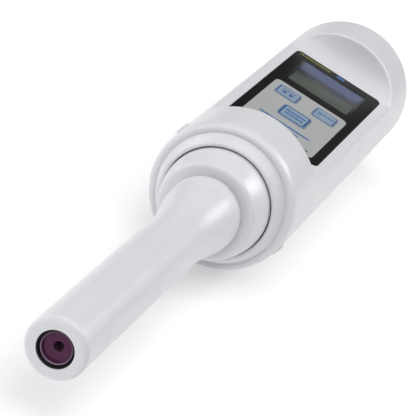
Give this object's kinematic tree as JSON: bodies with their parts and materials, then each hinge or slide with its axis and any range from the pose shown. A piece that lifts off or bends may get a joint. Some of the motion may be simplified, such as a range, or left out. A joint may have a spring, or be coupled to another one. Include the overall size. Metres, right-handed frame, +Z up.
{
  "type": "handheld light meter",
  "caption": "Wand-type light meter: long lens tube with a stepped bell collar, cylindrical body with a scooped display pocket, small screen, keypad and rear battery cap.",
  "frame": {"origin": "centre of the footprint, on the surface the meter lies on", "axes": "+Y along the spine from the lens to the rear, +Z up out of the display, +X to the right seen from behind the lens"},
  "size_m": [0.0654, 0.403, 0.0654],
  "materials": {
    "white_shell": "satin gloss moulded",
    "white_ring": "satin gloss moulded",
    "white_collar": "satin gloss moulded",
    "white_tube": "satin gloss moulded",
    "latch_plastic": "satin",
    "cap_plastic": "satin",
    "black_rubber": "matte",
    "key_rubber": "matte",
    "black_metal": "black anodised look",
    "coated_glass": "coated optical glass",
    "filter_glass": "optical filter glass",
    "aperture_blue": "dark satin",
    "socket_plastic": "moulded",
    "bezel_gloss": "gloss black",
    "window_clear": "clear acrylic window",
    "lcd_cell": "grey green display",
    "keypad_grey": "satin film",
    "key_blue": "satin film with printed outline",
    "circuit_board": "solder mask",
    "ribbon_film": "polyimide film",
    "cable_jacket": "satin",
    "screw_steel": "plated",
    "contact_brass": "plated",
    "cell_wrap": "printed wrap"
  },
  "bodies": {
    "meter": {"body_shell": "white_shell", "clamp_ring": "white_ring", "probe_collar": "white_collar", "probe_tube": "white_tube", "collar_seal": "black_rubber", "neck_seal": "black_rubber", "key_mat": "key_rubber", "lens_retainer": "black_metal", "lens_spacer": "black_metal", "baffle_tube": "black_metal", "tube_nut": "black_metal", "sensor_retainer": "black_metal", "sensor_holder": "black_metal", "objective_lens": "coated_glass", "optical_filter": "filter_glass", "aperture_stop": "aperture_blue", "probe_socket": "socket_plastic", "chassis": "socket_plastic", "battery_holder": "socket_plastic", "lcd_frame": "socket_plastic", "sensor_connector": "socket_plastic", "circuit_chips": "socket_plastic", "panel_bezel": "bezel_gloss", "lcd_window": "window_clear", "lcd_glass": "lcd_cell", "keypad_plate": "keypad_grey", "main_board": "circuit_board", "display_board": "circuit_board", "sensor_board": "circuit_board", "display_ribbon": "ribbon_film", "sensor_cable": "cable_jacket", "case_screws": "screw_steel", "board_screws": "screw_steel", "display_screws": "screw_steel", "latch_spring_left": "screw_steel", "latch_spring_right": "screw_steel", "photodiode": "screw_steel", "board_standoffs": "contact_brass", "front_contact": "contact_brass", "battery_cells": "cell_wrap"},
    "key_left": {"key_left": "key_blue"},
    "key_right": {"key_right": "key_blue"},
    "key_center": {"key_center": "key_blue"},
    "latch_left": {"latch_left": "latch_plastic"},
    "latch_right": {"latch_right": "latch_plastic"},
    "rear_cap": {"battery_cap": "cap_plastic", "cap_seal": "black_rubber", "cap_contact": "contact_brass"}
  },
  "joints": [
    {"name": "key_left_press", "type": "slide", "parent": "meter", "child": "key_left", "axis": [0, 0, -1], "range_m": [0, 0.0005], "stiffness_N_per_m": 1500},
    {"name": "key_right_press", "type": "slide", "parent": "meter", "child": "key_right", "axis": [0, 0, -1], "range_m": [0, 0.0005], "stiffness_N_per_m": 1500},
    {"name": "key_center_press", "type": "slide", "parent": "meter", "child": "key_center", "axis": [0, 0, -1], "range_m": [0, 0.0005], "stiffness_N_per_m": 1500},
    {"name": "latch_right_press", "type": "slide", "parent": "meter", "child": "latch_right", "axis": [-0.9354, 0, 0.3535], "range_m": [0, 0.0015], "stiffness_N_per_m": 1500, "deforming": ["latch_spring_right"]},
    {"name": "latch_left_press", "type": "slide", "parent": "meter", "child": "latch_left", "axis": [0.9354, 0, -0.3535], "range_m": [0, 0.0015], "stiffness_N_per_m": 1500, "deforming": ["latch_spring_left"]},
    {"name": "rear_cap_turn", "type": "hinge", "parent": "meter", "child": "rear_cap", "pos_m": [0, 0.1985, 0.0327], "axis": [0, 1, 0], "range_deg": [0, 60]}
  ]
}
